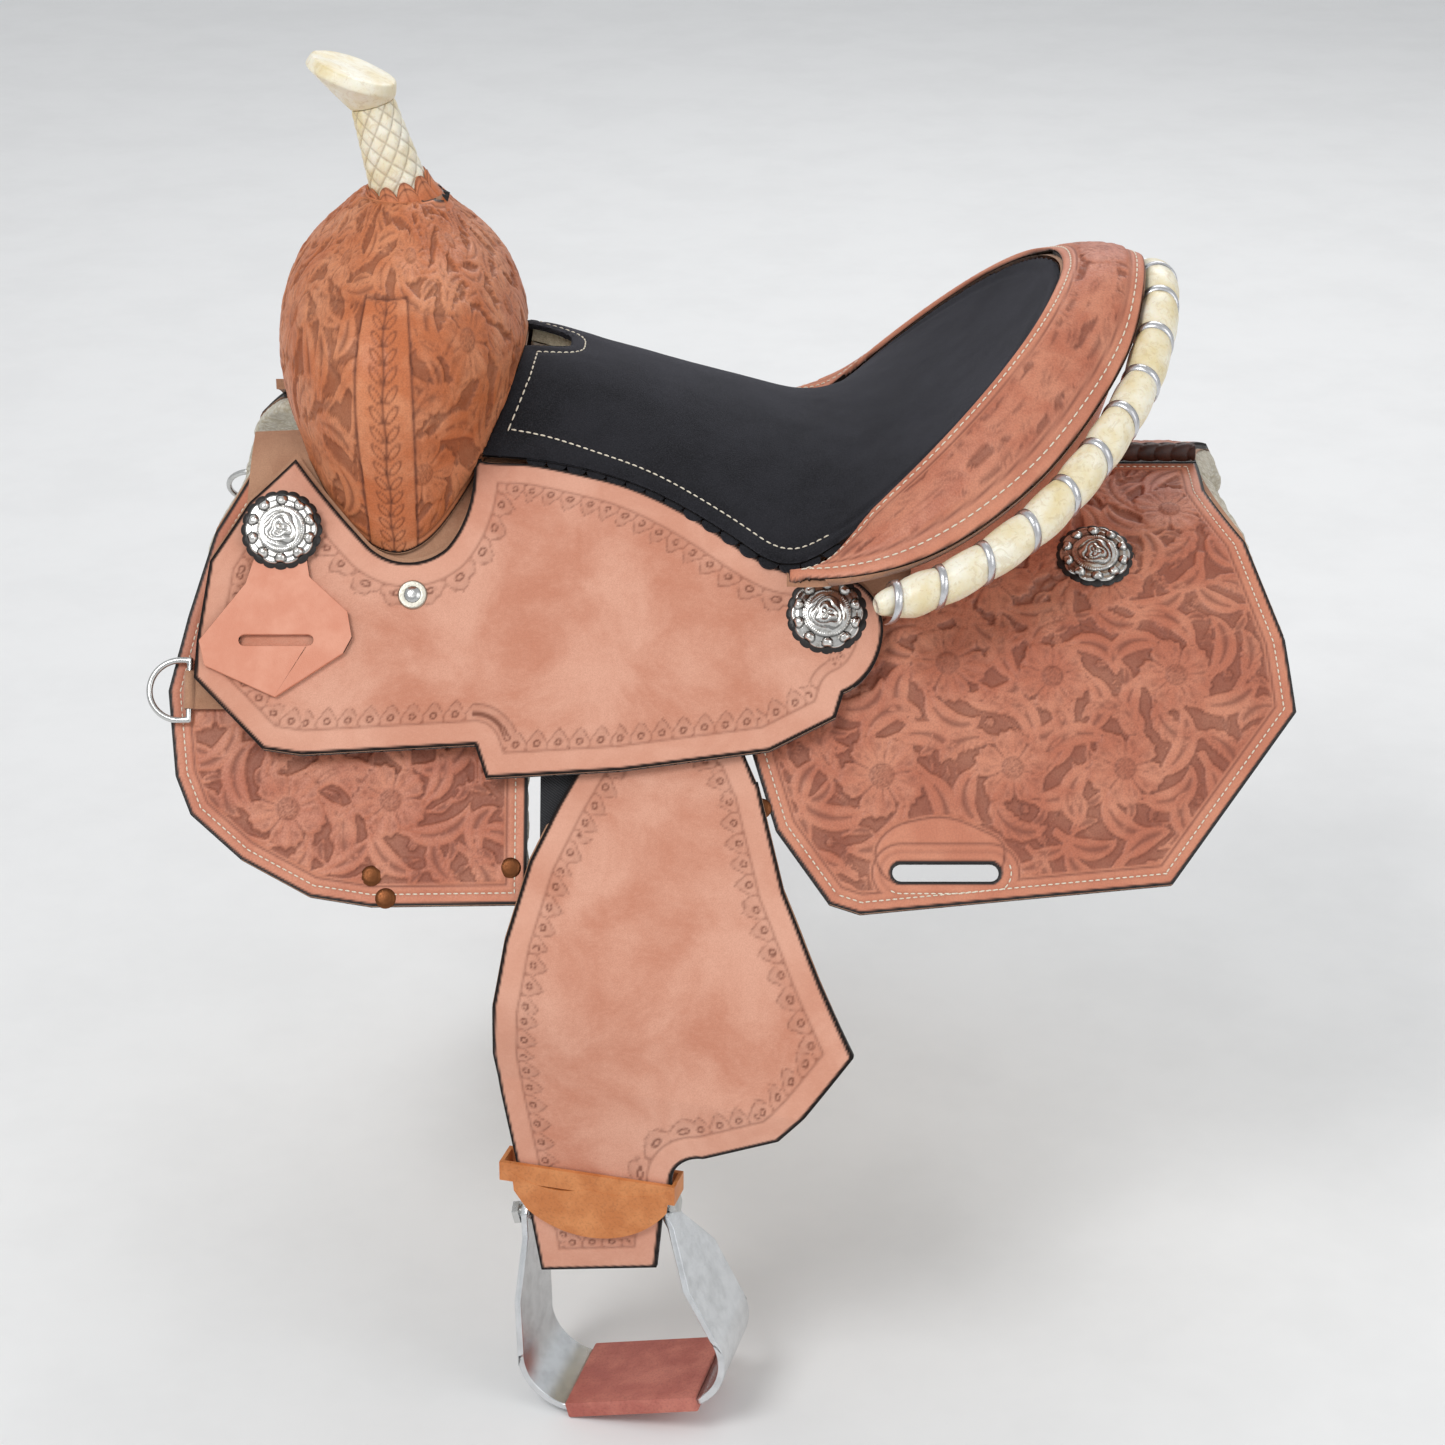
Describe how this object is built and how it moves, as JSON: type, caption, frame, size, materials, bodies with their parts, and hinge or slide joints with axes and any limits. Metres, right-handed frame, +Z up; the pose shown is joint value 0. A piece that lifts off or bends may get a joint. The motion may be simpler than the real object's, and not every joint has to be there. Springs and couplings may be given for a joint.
{
  "type": "western saddle",
  "caption": "Barrel-racing western saddle with carved skirts, roughout jockeys and fenders, suede seat, rawhide horn and hanging aluminium stirrups.",
  "frame": {"origin": "the ridge line of the lining's underside, midway along the skirts, where the saddle sits on a back or rack", "axes": "+Z up, -X towards the horse's head (the horn), -Y the near (left) side"},
  "size_m": [0.717, 0.6652, 0.8151],
  "materials": {
    "tree": "fibreglass-covered wood tree, satin",
    "carved_leather": "floral tooled leather, antiqued",
    "rough_leather": "roughout leather with stamped border",
    "strap_leather": "smooth oiled leather",
    "suede": "black suede",
    "foam": "soft seat foam",
    "strainer": "galvanised ground seat plate",
    "rawhide": "natural rawhide",
    "silver_lace": "silver lacing",
    "dark_lace": "dark braided lace",
    "fleece": "woolly fleece lining",
    "web": "black nylon webbing",
    "steel": "satin stainless steel",
    "zinc": "zinc-plated",
    "silver": "engraved polished silver",
    "black_leather": "black scalloped leather",
    "rivet": "brown rivet",
    "aluminium": "polished aluminium"
  },
  "bodies": {
    "tree_and_skirts": {"bar_left": "tree", "bar_right": "tree", "fork": "tree", "cantle_board": "tree", "horn_post": "steel", "horn_cap": "rawhide", "horn_wrap": "rawhide", "horn_screws": "zinc", "fork_cover": "carved_leather", "gullet_liner": "strap_leather", "ground_seat": "strainer", "seat_foam": "foam", "seat_cover": "suede", "seat_jockey_left": "rough_leather", "seat_jockey_right": "rough_leather", "cantle_roll": "carved_leather", "cantle_back": "rough_leather", "cantle_binding": "rawhide", "cantle_lacing": "silver_lace", "front_skirt_left": "carved_leather", "front_skirt_right": "carved_leather", "rear_skirt_left": "carved_leather", "rear_skirt_right": "carved_leather", "front_fleece_left": "fleece", "front_fleece_right": "fleece", "rear_fleece_left": "fleece", "rear_fleece_right": "fleece", "skirt_lacing": "dark_lace", "rigging_webs": "web", "dee_clips": "web", "conchos": "silver", "concho_rosettes": "black_leather", "jockey_washers": "zinc", "jockey_screws": "zinc", "rigging_rivets": "rivet", "stirrup_leathers": "strap_leather"},
    "neck_left": {"fender_neck_left": "rough_leather"},
    "fender_left": {"fender_left": "rough_leather", "hobble_strap_left": "strap_leather", "inner_strap_left": "strap_leather", "buckle_plate_left": "steel"},
    "sleeve_left": {"buckle_sleeve_left": "steel"},
    "stirrup_left": {"stirrup_frame_left": "aluminium", "stirrup_bolt_left": "zinc", "tread_cover_left": "rough_leather"},
    "breast_dee_left": {"breast_dee_left": "silver"},
    "rigging_dee_left": {"rigging_dee_left": "steel"},
    "keeper_left": {"latigo_keeper_left": "rough_leather"},
    "neck_right": {"fender_neck_right": "rough_leather"},
    "fender_right": {"fender_right": "rough_leather", "hobble_strap_right": "strap_leather", "inner_strap_right": "strap_leather", "buckle_plate_right": "steel"},
    "sleeve_right": {"buckle_sleeve_right": "steel"},
    "stirrup_right": {"stirrup_frame_right": "aluminium", "stirrup_bolt_right": "zinc", "tread_cover_right": "rough_leather"},
    "breast_dee_right": {"breast_dee_right": "silver"},
    "rigging_dee_right": {"rigging_dee_right": "steel"},
    "keeper_right": {"latigo_keeper_right": "rough_leather"}
  },
  "joints": [
    {"name": "fender_swing_left", "type": "hinge", "parent": "tree_and_skirts", "child": "neck_left", "pos_m": [-0.058, -0.18349, -0.07352], "axis": [0, 0.8192, -0.5736], "range_deg": [-14, 14]},
    {"name": "fender_lift_left", "type": "hinge", "parent": "neck_left", "child": "fender_left", "pos_m": [-0.058, -0.21504, -0.11491], "axis": [-1, 0, 0], "range_deg": [0, 60]},
    {"name": "buckle_slide_left", "type": "slide", "parent": "fender_left", "child": "sleeve_left", "axis": [0.009, 0.034, 0.9994], "range_m": [0, 0.018]},
    {"name": "stirrup_turn_left", "type": "hinge", "parent": "fender_left", "child": "stirrup_left", "pos_m": [-0.08025, -0.27866, -0.38251], "axis": [0.9372, -0.2511, 0.2419], "range_deg": [-20, 35]},
    {"name": "breast_dee_swing_left", "type": "hinge", "parent": "tree_and_skirts", "child": "breast_dee_left", "pos_m": [-0.332, -0.17874, -0.06708], "axis": [0, 0.5736, 0.8192], "range_deg": [0, 85]},
    {"name": "rigging_dee_swing_left", "type": "hinge", "parent": "tree_and_skirts", "child": "rigging_dee_left", "pos_m": [-0.092, -0.25076, -0.18267], "axis": [1, 0, 0], "range_deg": [0, 70]},
    {"name": "keeper_swivel_left", "type": "hinge", "parent": "tree_and_skirts", "child": "keeper_left", "pos_m": [-0.275, -0.13252, 0.02142], "axis": [0, 0.8192, -0.5736], "range_deg": [-10, 10]},
    {"name": "fender_swing_right", "type": "hinge", "parent": "tree_and_skirts", "child": "neck_right", "pos_m": [-0.058, 0.18349, -0.07352], "axis": [0, 0.8192, 0.5736], "range_deg": [-14, 14]},
    {"name": "fender_lift_right", "type": "hinge", "parent": "neck_right", "child": "fender_right", "pos_m": [-0.058, 0.21504, -0.11491], "axis": [1, 0, 0], "range_deg": [0, 60]},
    {"name": "buckle_slide_right", "type": "slide", "parent": "fender_right", "child": "sleeve_right", "axis": [0.009, -0.034, 0.9994], "range_m": [0, 0.018]},
    {"name": "stirrup_turn_right", "type": "hinge", "parent": "fender_right", "child": "stirrup_right", "pos_m": [-0.08025, 0.27866, -0.38251], "axis": [-0.9372, -0.2511, -0.2419], "range_deg": [-20, 35]},
    {"name": "breast_dee_swing_right", "type": "hinge", "parent": "tree_and_skirts", "child": "breast_dee_right", "pos_m": [-0.332, 0.17874, -0.06708], "axis": [0, 0.5736, -0.8192], "range_deg": [0, 85]},
    {"name": "rigging_dee_swing_right", "type": "hinge", "parent": "tree_and_skirts", "child": "rigging_dee_right", "pos_m": [-0.092, 0.25076, -0.18267], "axis": [-1, 0, 0], "range_deg": [0, 70]},
    {"name": "keeper_swivel_right", "type": "hinge", "parent": "tree_and_skirts", "child": "keeper_right", "pos_m": [-0.275, 0.13252, 0.02142], "axis": [0, 0.8192, 0.5736], "range_deg": [-10, 10]}
  ]
}
